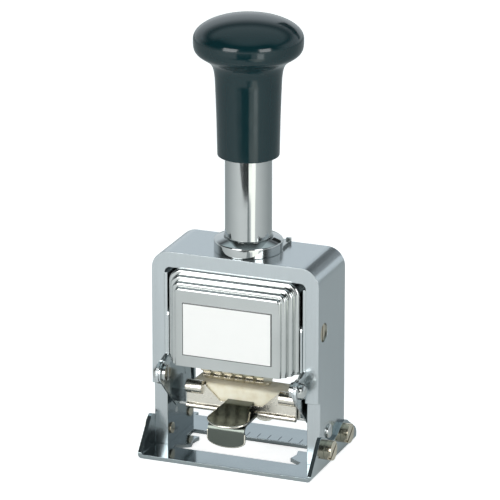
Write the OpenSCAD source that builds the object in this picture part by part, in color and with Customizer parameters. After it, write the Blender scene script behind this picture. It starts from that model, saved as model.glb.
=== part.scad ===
// Numbering machine: a hand press with six numbering wheels, an ink pad that swings away, a metal frame.
// Millimetres. X runs to the right, the front faces -Y, and the base plate rests on z = 0.

/* [Frame] */
// depth of the frame, front to back
frame_d = 26; // [24:1:30]
// height of the frame's top
frame_top_z = 74; // [72:1:80]
// thickness of the legs
leg_t = 4.8; // [4.4:0.2:5]
// thickness of the top bar
bar_t = 5.6; // [5:0.2:6]
// outside corner radius of the frame
corner_r = 6.5; // [5:0.5:9]
// inside corner radius of the frame
inner_r = 2; // [1:0.5:4]
// how far the lower front of the legs is set back
leg_step = 2; // [1:0.5:3]
// height of the step in the legs
leg_step_z = 24.8; // [20:0.5:28]
// thickness of the plates inside the legs
plate_t = 1; // [0.8:0.1:1.2]

/* [Base plate] */
// thickness of the base plate
base_t = 1.4; // [1:0.1:2]
// front edge of the base plate, ahead of the plunger's axis
base_front = 23.6; // [23:0.2:26]
// rear edge of the base plate, behind the plunger's axis
base_rear = 19.5; // [18:0.5:22]
// rear end of the plate's upright ears, behind the axis
ear_rear = 22.1; // [20:0.1:23]
// height of the ears
ear_h = 13.1; // [12.8:0.1:14]
// front edge of the window, ahead of the axis
window_front = 12.5; // [12:0.5:14]
// rear edge of the window, behind the axis
window_rear = 6; // [5:0.5:8]
// width of the plate beside the window, inside each leg
window_side = 2.7; // [2:0.1:4]
// length of the two pointers
pointer_l = 4.8; // [3:0.1:6]
// depth of a pointer at its tip
pointer_d = 7.5; // [5:0.5:9]
// how far a pointer's slanted flank runs
pointer_flank = 3.5; // [2:0.5:4]

/* [Wheels] */
// radius over the type faces
type_r = 10.2; // [9.8:0.1:10.4]
// height of the type faces over the wheel
type_h = 1.1; // [0.8:0.1:1.4]
// width of a type face around the wheel
type_w = 3.4; // [3:0.1:3.8]
// distance from one wheel to the next
wheel_pitch = 4; // [3.6:0.1:4.6]
// middle of the set of wheels, sideways
wheels_x = -2.5; // [-3:0.1:-2]
// thickness of the ratchet beside a wheel's disc
ratchet_t = 1; // [0.8:0.1:1.2]
// radius of the ratchet teeth
ratchet_r = 6.5; // [6:0.1:7]
// depth of the ratchet teeth
tooth_h = 0.8; // [0.5:0.1:1]
// radius of the wheel shaft
shaft_r = 2.45; // [2.2:0.05:2.6]
// height of the wheel shaft
shaft_z = 35; // [34.8:0.1:35.4]

/* [Head] */
// room between the set of wheels and the left wall of the case
side_room = 8.5; // [8.2:0.1:10]
// thickness of the case's sheet
case_t = 1.2; // [1:0.1:1.4]
// height of the case's lower edge
case_z0 = 35.4; // [35.2:0.1:36.4]
// gap between the case and the frame's top bar
head_gap = 1.6; // [1.6:0.1:2]
// corner radius of the case
case_r = 3.2; // [2:0.2:4]
// sheet of the front cover
cover_t = 1; // [0.8:0.1:1.2]
// how far the front cover reaches over the frame's top bar
cover_lap = 0.2; // [0:0.1:1]
// narrowing of the front cover at each step
cover_step = 1.5; // [1.2:0.1:1.6]
// depth of the cover's lowest step
tier_a_d = 1.25; // [1.1:0.05:1.4]
// depth of the cover's second step
tier_b_d = 2.4; // [1.6:0.1:2.4]
// depth of the cover's third step
tier_c_d = 2.3; // [1.5:0.1:2.3]
// depth of the cover's face
face_d = 1.4; // [1.1:0.1:1.4]
// corner radius of the front cover
cover_r = 4.6; // [4:0.2:5]
// how much smaller the corner radius gets at each step
cover_r_step = 1; // [0.6:0.1:1.1]
// bare face beside the label plate
label_side = 3.2; // [2:0.2:6]
// height of the label plate
label_h = 19.2; // [14:0.2:22]
// height of the label plate's lower edge
label_z = 39.6; // [38:0.2:42]
// thickness of the label plate
label_t = 0.3; // [0.2:0.1:0.5]

/* [Plunger] */
// radius of the plunger tube
tube_r = 8.2; // [7.8:0.1:8.4]
// wall of the plunger tube
tube_wall = 1; // [0.8:0.1:1.2]
// height of the tube's upper end
tube_top = 131; // [128:1:134]
// travel of the plunger
stroke = 24.6; // [24:0.1:24.8]
// running clearance of shafts and slides
run = 0.05; // [0.02:0.01:0.1]

/* [Knob] */
// height of the knob's top
knob_top = 157.9; // [154:0.1:162]
// radius of the knob's widest part
knob_r = 19.05; // [17:0.05:21]
// radius of the grip at its lower end
grip_r = 10.8; // [10.2:0.1:12]
// height of the grip's lower end
grip_z = 108.4; // [107:0.1:112]
// height where the knob's side turns into its dome
band_z = 150; // [147:0.1:152]

/* [Collar and lock] */
// radius of the collar on top of the frame
collar_r = 12.1; // [11.4:0.1:12.6]
// height of the collar's wall
collar_h = 3.8; // [3:0.1:5]
// how far the collar's top rises towards the tube
collar_rise = 1.2; // [0.6:0.1:1.6]
// radius of the sleeve in the frame
sleeve_r = 9.4; // [9:0.1:9.8]
// radius of the key pin
key_r = 1.5; // [1.2:0.1:1.6]
// thickness of the lock slide
lock_t = 1; // [0.8:0.1:1.2]
// travel of the lock slide
lock_travel = 1.5; // [1.2:0.1:1.6]

/* [Ink carrier] */
// distance of the carrier's pivot ahead of the axis
pivot_front = 18; // [17.6:0.1:18.4]
// height of the carrier's pivot
pivot_z = 31.1; // [30.8:0.1:31.4]
// angle of the carrier's swing
swing_deg = 115; // [108:1:118]
// distance of the cam pins behind the pivot
pin_back = 15; // [14.6:0.1:15.4]
// height of the cam pins over the pivot
pin_up = 10; // [9.6:0.1:10.4]
// radius of the cam pins
pin_r = 1.5; // [1.3:0.1:1.6]
// thickness of the carrier's arms
arm_t = 0.6; // [0.5:0.1:0.8]
// distance from the arms in to the pad holder's side
carrier_side = 4; // [3.6:0.1:5]
// height of the pad's face
pad_top = 24.4; // [24:0.1:24.5]
// width of the upper finger tab
tab_w = 14.6; // [12:0.2:16]
// width of the upper finger tab's neck
strap_w = 9.6; // [7:0.2:11]
// width of the lower finger tab
low_tab_w = 13.6; // [12:0.2:15]

/* [Index] */
// radius at which the index rod moves
rod_arm = 12; // [11.8:0.1:12.1]
// radius of the index rod
rod_r = 1.1; // [0.9:0.1:1.2]
// angle of the index rod at rest
rod_deg = 66; // [62:1:68]
// turn of the pawl carrier over the stroke
index_deg = 36; // [30:1:38]

/* [Return spring] */
// number of curls
spring_curls = 17; // [12:1:17]
// radius of the spring's wire
wire_r = 0.55; // [0.4:0.05:0.6]
// middle radius of the spring
spring_r = 5.3; // [4.8:0.1:5.4]

/* [Hidden] */
$fn = 48;
fine = 96;
small = 24;
over = 1;
half_d = frame_d / 2;
bar_z = frame_top_z - bar_t;
// sideways, from the wheels out to the frame
wheels = 6;
teeth = 10;
wheel_gap = 0.1;
arm_gap = 0.3;
plate_gap = 0.1;
wheel_x0 = wheels_x - wheel_pitch * wheels / 2;
wheel_x1 = wheels_x + wheel_pitch * wheels / 2;
inner_half = side_room - wheel_x0;
case_half = inner_half + case_t;
arm_x0 = case_half + arm_gap;
arm_x1 = arm_x0 + arm_t;
plate_x0 = arm_x1 + plate_gap;
leg_x = plate_x0 + plate_t;
half_w = leg_x + leg_t;
// base plate and its ears
ear_out = half_w + base_t;
ear_root = 3;
ear_shares = [[-1, 0], [-1, 0.051], [-0.612, 0.957], [-0.567, 1], [-0.5, 0.966], [-0.333, 0.812],
  [-0.192, 0.615], [-0.042, 0.547], [0.112, 0.598], [0.252, 0.752], [0.355, 0.829], [0.458, 0.846],
  [0.561, 0.786], [0.925, 0.325], [0.981, 0.214], [1, 0.103], [1, 0]];
window_half = leg_x - window_side;
pointer_half = window_half - pointer_l;
pointer_nose = 0.8;
screw_head_r = 3.5;
screw_head_h = 2.5;
screw_shank_r = 2;
screw_end = 0.5;
screw_turn = 35;
slot_w = 0.9;
slot_d = 0.9;
front_screw = [-7.6, 6.5];
rear_screw = [9.4, 6.8];
rivet_at = [-2.8, 11.5];
rivet_r = 2.75;
rivet_h = 1.3;
rivet_shank_r = 1.3;
side_screw_at = [-7.6, 49.7];
side_head_r = 3.25;
side_head_h = 1.5;
side_recess_r = 3.4;
side_recess_d = 2;
side_shank_r = 1.7;
// side plates
pivot = [-pivot_front, pivot_z];
pivot_head_r = 3;
pivot_head_h = 1.35;
pivot_shank_r = 1.5;
pivot_dome_r = 3.1;
pivot_dome_h = 2.4;
pivot_boss_r = 4.2;
plate_play = 0.2;
plate_top = bar_z - inner_r - plate_play;
plate_low = 12.4;
plate_rear = half_d - plate_play;
plate_lug_up = 5.3;
plate_lug_down = 4.7;
plate_foot = 4.8;
plate_inner = 2.2;
plate_inner_z = 29;
rod_slot_gap = 0.25;
steps = 24;
cap = 12;
near = 0.002;
// carrier arms
arm_boss_r = 4;
arm_slot_gap = 0.1;
arm_lobe_r = 3.5;
arm_tip_r = 2.5;
arm_front = 13.6;
arm_shoulder = 5;
arm_waist = 1;
// tray and holder
holder_half = arm_x0 - carrier_side;
tray_front = -7;
tray_lip = 1.6;
tray_rear = 6.2;
tray_play = 0.2;
floor_z = 16.1;
floor_t = 0.8;
rail_t = 0.9;
rail_in = 3.6;
rail_gap = 0.1;
rail_z = floor_z - rail_gap - rail_t;
holder_rear = 5.2;
holder_wall = 0.8;
holder_back_z = 21.6;
front_wall_z = 24;
side_wall_z = 22;
arm_waist_z = side_wall_z + 2;
cut_top = 14.5;
cut_low = 8;
cut_z = 18.9;
bar_r = 1.1;
bar_up = 0.2;
bar_back = 0.1;
boss_r = 2.4;
boss_z = 22.9;
boss_y = -6.5;
boss_out = holder_half;
boss_in = boss_out - 6;
boss_play = 0.2;
pad_gap = 0.1;
tongue_x = 7.4;
tongue_half = 3.2;
tongue_r = 1.6;
tongue_y = -4;
tongue_low = 12.4;
tongue_t = 0.8;
tab_t = 0.9;
tab_x = -0.4;
tab_bend_y = -9.5;
tab_dip = [-20.5, 16.9];
tab_tip = [-23.3, 16.4];
tab_end = 5.1;
tab_flare = 8.5;
low_tab_z = 15.3;
low_tab_y = -20.6;
low_tab_low = 7.6;
low_tab_round = 2.6;
low_tab_r = 3;
bends = 8;
// head
cover_gap = 0.15;
case_front = -half_d - cover_gap;
case_rear = half_d - plate_play;
case_z1 = bar_z - head_gap;
cover_top = bar_z + cover_lap;
skirt_d = 2;
tier_d = [tier_a_d, tier_b_d, tier_c_d, face_d];
face_half = case_half - 3 * cover_step;
hanger_t = 1.2;
spacer_left = 1.5;
spacer_right = 4;
hanger_left = wheel_x0 - spacer_left - hanger_t;
hanger_right = wheel_x1 + spacer_right + hanger_t;
hanger_front = -7;
hanger_rear = 3.3;
hanger_r = 6;
hanger_yoke = tube_r + 2;
nut_r = tube_r + 2.6;
nut_h = 3;
nut_facets = 6;
flange_r = tube_r + 2.2;
flange_h = 1.2;
clip_r = 3.6;
clip_t = 0.8;
clip_gap = 0.6;
pawl_t = 1.2;
pawl_gap_left = 0.8;
pawl_gap_right = 1.3;
pawl_left = hanger_left - pawl_gap_left - pawl_t;
pawl_right = hanger_right + pawl_gap_right;
shaft_x0 = pawl_left - clip_gap - clip_t;
shaft_x1 = pawl_right + pawl_t + clip_gap + clip_t;
pawl_boss_r = 4;
comb_r0 = 10.5;
comb_r1 = 11.5;
comb_lap = 0.5;
comb_a0 = 20;
comb_a1 = 40;
finger_r = 6.9;
finger_a0 = 26;
finger_a1 = 30;
finger_w = 0.8;
rod_lobe = 0.9;
rod_end = 0.1;
detent_z = 49;
detent_h = 1.2;
detent_front = -2.4;
detent_rear = 1.2;
detent_tip = 0.9;
detent_gap = 0.4;
back_t = 1;
back_flange = 3.2;
back_flange_z = 50;
selector_x = 9;
selector_z = 54;
selector_r = 5.2;
selector_hub_r = 2;
selector_cap_r = 3;
selector_h = 2.6;
selector_grip_w = 1.6;
selector_grip_h = 1.4;
spacer_r = 3.6;
rim_r = type_r - type_h;
type_top = sqrt(type_r * type_r - type_w * type_w / 4);
disc_t = wheel_pitch - ratchet_t - wheel_gap - wheel_gap;
finger_x = wheel_gap + disc_t + (ratchet_t - finger_w) / 2;
tooth_turn = 4;
// tube, key and lock
tube_in = tube_r - tube_wall;
tube_low = case_z1 - case_t - hanger_t - nut_h;
key_z = frame_top_z - 2.3;
key_deep = -3;
key_play = 0.2;
seat_up = 0.6;
seat_down = 0.3;
seat_low = bar_z + seat_up;
seat_top = frame_top_z - seat_down;
seat_r = tube_in - wheel_gap;
plug_h = 5;
stud_r = 2.5;
stud_up = 10;
stud_top = tube_top + stud_up;
collar_bevel = 0.4;
collar_lip = 0.6;
lock_up = 0.05;
lock_z = frame_top_z + lock_up;
lock_play = 0.1;
lock_edge = tube_r + lock_play + run;
notch_play = 0.3;
notch_deep = 0.3;
notch_y = lock_edge - lock_travel - notch_deep;
lock_nose = 4.5;
lock_nose_l = 1.3;
lock_rear = 12;
lock_half = 9;
lock_right = 11.4;
lock_front = 3.6;
lock_arm_x = 9.2;
lock_lap = 0.1;
thumb_h = 0.8;
thumb_w = 1.6;
thumb_t = 1.2;
grip_bevel = 0.5;
knob_shares = [[0, 0.014], [0.036, 0.327], [0.073, 0.543], [0.097, 0.663], [0.145, 0.736], [0.23, 0.784],
  [0.388, 0.817], [0.655, 0.851], [0.861, 0.877], [0.958, 0.901], [1, 0.935]];
// spring
spring_z0 = seat_top + wire_r;
spring_z1 = tube_top - plug_h - wire_r;
spring_pitch = (spring_z1 - spring_z0) / spring_curls;
rings = 8;
sides = 6;
self_gap = (spring_z1 - spring_z0 - stroke) / spring_curls - wire_r - wire_r;
echo(smallest_gap_in_the_spring = self_gap);

// a side view (y, z) made as thick as t, starting at x0
module side(x0, t) translate([x0, 0, 0]) rotate([90, 0, 90]) linear_extrude(t) children();
// a front view (x, z) made as deep as t, starting at y0
module front(y0, t) translate([0, y0 + t, 0]) rotate([90, 0, 0]) linear_extrude(t) children();
// a rod along x
module rod(r, x0, x1, at) translate([x0, at[0], at[1]]) rotate([0, 90, 0]) cylinder(h = x1 - x0, r = r);
module both() {
  children();
  mirror([1, 0, 0]) children();
}
module box(x0, x1, y0, y1, z0, z1) translate([x0, y0, z0]) cube([x1 - x0, y1 - y0, z1 - z0]);
// an upright rectangle whose two upper corners are round
module arch(half, z0, z1, r) {
  translate([-half, z0]) square([half + half, z1 - z0 - r]);
  translate([r - half, z0]) square([half + half - r - r, z1 - z0]);
  for (s = [-1, 1]) translate([s * (half - r), z1 - r]) circle(r = r);
}

// outline of a slot that a round pin sweeps along a path: both sides, then a round end at each end
function along(p, i) = let (a = p[max(i - 1, 0)], b = p[min(i + 1, len(p) - 1)]) (b - a) / norm(b - a);
function beside(p, i, w) = let (t = along(p, i)) [p[i][0] - w * t[1], p[i][1] + w * t[0]];
function nearest(p, q) = min([for (v = p) norm(v - q)]);
function edge_of(p, w, order) = [for (i = order) let (q = beside(p, i, w))
  if (nearest(p, q) > abs(w) - near) q];
function end_of(p, i, w, turn) = let (t = along(p, i), a = atan2(t[1], t[0]) + turn)
  [for (k = [1:cap - 1]) p[i] + w * [cos(a - 180 * k / cap), sin(a - 180 * k / cap)]];
function band(p, w) = concat(edge_of(p, w, [0:len(p) - 1]), end_of(p, len(p) - 1, w, 90),
  edge_of(p, -w, [len(p) - 1:-1:0]), end_of(p, 0, w, -90));
module track(p, w) polygon(band(p, w));

// where a cam pin stands in the turning arm after the head has moved by s
function arm_at(s) = let (a = swing_deg * s / stroke, u = pin_up - s)
  [pivot[0] + pin_back * cos(a) - u * sin(a), pivot[1] + pin_back * sin(a) + u * cos(a)];
function arm_path() = [for (i = [0:steps]) arm_at(stroke * i / steps)];
// where the index rod stands in the frame after the head has moved by s
function rod_at(s) = let (a = rod_deg - index_deg * s / stroke)
  [rod_arm * cos(a), shaft_z - s + rod_arm * sin(a)];
function rod_path() = [for (i = [0:steps]) rod_at(stroke * i / steps)];
// the index rod's path in the head
function head_at(a) = [rod_arm * cos(a), shaft_z + rod_arm * sin(a)];
function head_path() = [for (i = [0:steps]) head_at(rod_deg - index_deg * i / steps)];
function fan(r, a0, a1) = [for (i = [0:steps]) let (a = a0 + (a1 - a0) * i / steps) [r * cos(a), r * sin(a)]];
module sector(r0, r1, a0, a1) polygon(concat(fan(r1, a0, a1), fan(r0, a1, a0)));

function ear_y(share) = share < 0 ? share * base_front : share * ear_rear;
module ear() polygon([for (s = ear_shares) [ear_y(s[0]), base_t + s[1] * (ear_h - base_t)]]);

module base_plate() color("#c9d2d8") {
  difference() {
    box(-half_w, half_w, -base_front, base_rear, 0, base_t);
    translate([0, 0, -over]) linear_extrude(base_t + over + over) difference() {
      translate([-window_half, -window_front]) square([window_half + window_half, window_front + window_rear]);
      for (s = [-1, 1]) scale([s, 1]) polygon([[window_half + over, 0], [pointer_half, 0],
        [pointer_half + pointer_nose, -pointer_d / 2], [pointer_half, -pointer_d],
        [window_half + over, -pointer_d - pointer_flank]]);
    }
  }
  both() {
    difference() {
      side(half_w, base_t) ear();
      for (p = [front_screw, rear_screw]) rod(screw_shank_r, half_w - over, ear_out + over, p);
    }
    intersection() {
      translate([half_w, -base_front, base_t]) rotate([-90, 0, 0])
        cylinder(h = base_front + ear_rear, r = base_t);
      box(half_w, ear_out, -base_front, ear_rear, 0, base_t);
    }
    box(half_w - ear_root, half_w, base_rear - over, ear_rear, 0, base_t);
  }
}

module frame_yoke() color("#b9c0c4") difference() {
  front(-half_d, frame_d) difference() {
    arch(half_w, base_t, frame_top_z, corner_r);
    arch(leg_x, base_t - over, bar_z, inner_r);
  }
  box(-half_w - over, half_w + over, -half_d - over, leg_step - half_d, 0, leg_step_z);
  translate([0, 0, bar_z - over]) cylinder(h = bar_t + over + over, r = sleeve_r, $fn = fine);
  translate([0, half_d + over, key_z]) rotate([90, 0, 0]) cylinder(h = half_d + over, r = key_r, $fn = small);
  both() {
    for (p = [front_screw, rear_screw]) rod(screw_shank_r, leg_x - over, half_w + over, p);
    rod(rivet_shank_r, leg_x - over, half_w + over, rivet_at);
    rod(side_shank_r, leg_x - over, half_w + over, side_screw_at);
    rod(side_recess_r, half_w - side_recess_d, half_w + over, side_screw_at);
  }
}

module guide_bush() color("#d5dadd") difference() {
  rotate_extrude($fn = fine) polygon([[tube_r + run, bar_z], [sleeve_r, bar_z], [sleeve_r, frame_top_z],
    [collar_r - collar_bevel, frame_top_z], [collar_r, frame_top_z + collar_bevel],
    [collar_r, frame_top_z + collar_h - collar_bevel], [collar_r - collar_bevel, frame_top_z + collar_h],
    [tube_r + collar_lip, frame_top_z + collar_h + collar_rise],
    [tube_r + run, frame_top_z + collar_h + collar_rise - collar_lip]]);
  box(-collar_r - over, collar_r + over, lock_front - lock_travel - lock_play, collar_r + over,
    frame_top_z, lock_z + lock_t + lock_play);
  translate([0, half_d, key_z]) rotate([90, 0, 0]) cylinder(h = half_d, r = key_r, $fn = small);
}

module key_pin() color("#8d949a") translate([0, half_d, key_z]) rotate([90, 0, 0])
  cylinder(h = half_d - key_deep, r = key_r, $fn = small);

module spring_seat() color("#9aa1a6") difference() {
  translate([0, 0, seat_low]) cylinder(h = seat_top - seat_low, r = seat_r);
  translate([0, half_d, key_z]) rotate([90, 0, 0]) cylinder(h = half_d - key_deep, r = key_r, $fn = small);
}

module side_plate() difference() {
  side(plate_x0, plate_t) polygon(concat([[-half_d, plate_top], [-half_d, pivot_z + plate_lug_up]],
    [for (a = [80:20:300]) pivot + pivot_boss_r * [cos(a), sin(a)]],
    [[-half_d, pivot_z - plate_lug_down], [plate_inner, plate_inner_z], [plate_foot, plate_low],
      [plate_rear, plate_low], [plate_rear, plate_top]]));
  side(plate_x0 - over, plate_t + over + over) track(rod_path(), rod_r + rod_slot_gap);
  rod(pivot_shank_r, plate_x0 - over, leg_x + over, pivot);
  rod(side_shank_r, plate_x0 - over, leg_x + over, side_screw_at);
}
module side_plate_right() color("#aab2b7") side_plate();
module side_plate_left() color("#aab2b7") mirror([1, 0, 0]) side_plate();

module side_screws() color("#c8b98f") both() difference() {
  union() {
    rod(side_head_r, half_w - side_recess_d, half_w - side_recess_d + side_head_h, side_screw_at);
    rod(side_shank_r, plate_x0, half_w - side_recess_d, side_screw_at);
  }
  box(half_w - side_recess_d + side_head_h - slot_d, half_w, side_screw_at[0] - slot_w / 2,
    side_screw_at[0] + slot_w / 2, side_screw_at[1] - side_recess_r, side_screw_at[1] + side_recess_r);
}

// a domed head that looks outwards from the plane x = x0
module dome_head(x0, at, r, h) translate([x0, at[0], at[1]]) rotate([0, 90, 0]) rotate_extrude()
  polygon(concat([[0, 0]], [for (a = [0:15:90]) [r * cos(a), h * sin(a)]]));
module pad_pivot_screws() color("#dfe3e6") both() {
  difference() {
    union() {
      rod(pivot_head_r, arm_x0 - run - pivot_head_h, arm_x0 - run, pivot);
      rod(pivot_shank_r, arm_x0 - run - pivot_head_h, leg_x, pivot);
    }
    box(arm_x0 - run - pivot_head_h - over, arm_x0 - run - pivot_head_h + slot_d / 2,
      pivot[0] - slot_w / 2, pivot[0] + slot_w / 2, pivot[1] - pivot_head_r - over,
      pivot[1] + pivot_head_r + over);
  }
  dome_head(leg_x, pivot, pivot_dome_r, pivot_dome_h);
}

module base_screws() color("#d8dde0") both() for (p = [front_screw, rear_screw]) difference() {
  union() {
    rod(screw_head_r, ear_out, ear_out + screw_head_h, p);
    rod(screw_shank_r, leg_x - screw_end, ear_out, p);
  }
  translate([ear_out, p[0], p[1]]) rotate([screw_turn, 0, 0])
    box(screw_head_h - slot_d, screw_head_h + over, -screw_head_r - over, screw_head_r + over,
      -slot_w / 2, slot_w / 2);
}

module leg_rivets() color("#e2e5e7") both() {
  rod(rivet_shank_r, leg_x, half_w, rivet_at);
  dome_head(half_w, rivet_at, rivet_r, rivet_h);
}

module lock_slide() color("#c3c9cd") {
  box(-lock_half, lock_right, lock_edge + lock_nose_l - lock_lap, lock_rear, lock_z, lock_z + lock_t);
  box(-lock_nose, lock_nose, lock_edge, lock_edge + lock_nose_l, lock_z, lock_z + lock_t);
  box(lock_arm_x, lock_right, lock_front, lock_rear, lock_z, lock_z + lock_t);
  box(lock_right - thumb_w, lock_right, lock_rear - thumb_t, lock_rear, lock_z, lock_z + lock_t + thumb_h);
}

// half outline of the knob from the lower end of the grip to the top of the dome
function dome(n) = [for (i = [0:n]) let (a = 90 * i / n)
  [knob_r * cos(a), band_z + (knob_top - band_z) * sin(a)]];
module handle_knob() color("#101a1c") difference() {
  rotate_extrude($fn = fine) polygon(concat([[0, grip_z], [grip_r - grip_bevel, grip_z]],
    [for (s = knob_shares) [grip_r + s[0] * (knob_r - grip_r), grip_z + s[1] * (band_z - grip_z)]], dome(12)));
  translate([0, 0, grip_z - over]) cylinder(h = tube_top - grip_z + over, r = tube_r);
  translate([0, 0, grip_z]) cylinder(h = stud_top - grip_z, r = stud_r, $fn = small);
}
module knob_stud() color("#9aa1a6") translate([0, 0, tube_top - plug_h])
  cylinder(h = stud_top - tube_top + plug_h, r = stud_r, $fn = small);

module plunger_tube() color("#d9dee1") difference() {
  translate([0, 0, tube_low]) cylinder(h = tube_top - tube_low, r = tube_r, $fn = fine);
  translate([0, 0, tube_low - over]) cylinder(h = tube_top - tube_low + over + over, r = tube_in, $fn = fine);
  box(-key_r - key_play, key_r + key_play, 0, tube_r + over, key_z - key_r - key_play,
    key_z + key_r + key_play + stroke);
  for (s = [0, stroke]) box(-tube_r, tube_r, notch_y, tube_r + over, lock_z - notch_play + s,
    lock_z + lock_t + notch_play + s);
}
module tube_plug() color("#8d949a") difference() {
  translate([0, 0, tube_top - plug_h]) cylinder(h = plug_h, r = tube_in, $fn = fine);
  translate([0, 0, tube_top - plug_h - over]) cylinder(h = plug_h + over + over, r = stud_r, $fn = small);
}
module tube_flange() color("#b4bbc0") difference() {
  translate([0, 0, case_z1]) cylinder(h = flange_h, r = flange_r);
  translate([0, 0, case_z1 - over]) cylinder(h = flange_h + over + over, r = tube_r, $fn = fine);
}
module hanger_nut() color("#9aa1a6") difference() {
  translate([0, 0, tube_low]) cylinder(h = nut_h, r = nut_r, $fn = nut_facets);
  translate([0, 0, tube_low - over]) cylinder(h = nut_h + over + over, r = tube_r, $fn = fine);
}

module head_case() color("#cfd5d9") difference() {
  front(case_front, case_rear - case_front) difference() {
    arch(case_half, case_z0, case_z1, case_r);
    arch(inner_half, case_z0 - over, case_z1 - case_t, case_r - case_t);
  }
  translate([0, 0, case_z1 - case_t - over]) cylinder(h = case_t + over + over, r = tube_r, $fn = fine);
  both() {
    side(inner_half - over, case_t + over + over) track(head_path(), rod_r + rod_slot_gap);
    rod(pin_r, inner_half - over, case_half + over, [pivot[0] + pin_back, pivot[1] + pin_up]);
  }
}

// front plane of step n of the front cover, and one step as a solid that reaches back to y1
function tier_y(n) = n < 0 ? case_front : tier_y(n - 1) - tier_d[n];
module tier(n, y0, y1, cut, low) front(y0, y1 - y0)
  arch(case_half - n * cover_step - cut, case_z0 - low, cover_top - n * cover_step - cut,
    cover_r - n * cover_r_step);
module front_cover() color("#d4dade") difference() {
  union() {
    for (n = [0:3]) tier(n, tier_y(n), case_front, 0, 0);
    front(case_front, skirt_d) arch(inner_half, case_z0, case_z1 - case_t, case_r - case_t);
  }
  front(tier_y(0) + cover_t, skirt_d + over + over)
    arch(inner_half - cover_t, case_z0 - over, case_z1 - case_t - cover_t, case_r - case_t);
  for (n = [1:3]) tier(n, tier_y(n) + cover_t, case_front, case_t + cover_t, over);
}
module label_plate() color("#f4f5f3")
  box(label_side - face_half, face_half - label_side, tier_y(3) - label_t, tier_y(3), label_z,
    label_z + label_h);

module back_cover() color("#cfd5d9") difference() {
  union() {
    front(case_rear, back_t) arch(case_half, case_z0, case_z1, case_r);
    both() box(inner_half - cover_t, inner_half, case_rear - back_flange, case_rear,
      back_flange_z, case_z1 - case_r - case_t);
  }
  translate([selector_x, case_rear + back_t + over, selector_z]) rotate([90, 0, 0])
    cylinder(h = back_t + over + over, r = selector_hub_r + run);
}
module selector_knob() color("#2a3033") translate([selector_x, case_rear + back_t, selector_z])
  rotate([-90, 0, 0]) {
    translate([0, 0, run]) cylinder(h = selector_h, r = selector_r);
    translate([0, 0, -back_t - over]) cylinder(h = back_t + over + run, r = selector_hub_r);
    translate([0, 0, -back_t - over]) cylinder(h = over - run, r = selector_cap_r);
    box(-selector_r, selector_r, -selector_grip_w / 2, selector_grip_w / 2, selector_h,
      selector_h + selector_grip_h);
  }

module hanger_side(x0) side(x0, hanger_t) {
  translate([hanger_front, shaft_z]) square([hanger_rear - hanger_front, case_z1 - case_t - shaft_z]);
  translate([0, shaft_z]) circle(r = hanger_r);
}
module wheel_hanger() color("#a7afb4") difference() {
  union() {
    hanger_side(hanger_left);
    hanger_side(hanger_right - hanger_t);
    box(hanger_left, hanger_right, -hanger_yoke, hanger_yoke, case_z1 - case_t - hanger_t, case_z1 - case_t);
  }
  rod(shaft_r, hanger_left - over, hanger_right + over, [0, shaft_z]);
  translate([0, 0, tube_low]) cylinder(h = nut_h + hanger_t + case_t, r = tube_r, $fn = fine);
}
module wheel_shaft() color("#dfe3e6") rod(shaft_r, shaft_x0, shaft_x1, [0, shaft_z]);
module shaft_clips() color("#5f666b") for (x = [shaft_x0, shaft_x1 - clip_t]) difference() {
  rod(clip_r, x, x + clip_t, [0, shaft_z]);
  rod(shaft_r, x - over, x + clip_t + over, [0, shaft_z]);
}
module wheel_spacers() color("#c8b98f") difference() {
  union() {
    rod(spacer_r, hanger_left + hanger_t, wheel_x0, [0, shaft_z]);
    rod(spacer_r, wheel_x1, hanger_right - hanger_t, [0, shaft_z]);
  }
  rod(shaft_r, hanger_left, hanger_right, [0, shaft_z]);
}
module detent_comb() color("#7d858a") {
  box(hanger_left + hanger_t, hanger_right - hanger_t, detent_front, detent_rear, detent_z,
    detent_z + detent_h);
  for (i = [0:wheels - 1]) translate([wheel_x0 + i * wheel_pitch + finger_x, 0, 0])
    box(0, finger_w, -detent_tip, detent_tip, shaft_z + ratchet_r + detent_gap, detent_z);
}
module cam_pins() color("#dfe3e6") both()
  rod(pin_r, inner_half, arm_x1 + plate_gap / 2, [pivot[0] + pin_back, pivot[1] + pin_up]);

module return_spring() color("#8c9399") {
  n = spring_curls * rings;
  ring = [for (k = [0:sides - 1]) [wire_r * cos(360 * k / sides), wire_r * sin(360 * k / sides)]];
  pts = [for (i = [0:n]) let (a = 360 * i / rings, z = spring_z0 + spring_pitch * i / rings)
    for (q = ring) [(spring_r + q[0]) * cos(a), (spring_r + q[0]) * sin(a), z + q[1]]];
  skin = [for (i = [0:n - 1]) for (k = [0:sides - 1]) let (m = (k + 1) % sides)
    for (f = [[i * sides + k, (i + 1) * sides + k, (i + 1) * sides + m],
      [i * sides + k, (i + 1) * sides + m, i * sides + m]]) f];
  ends = [[for (k = [0:sides - 1]) k], [for (k = [sides - 1:-1:0]) n * sides + k]];
  polyhedron(points = pts, faces = concat(skin, ends));
}

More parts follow.
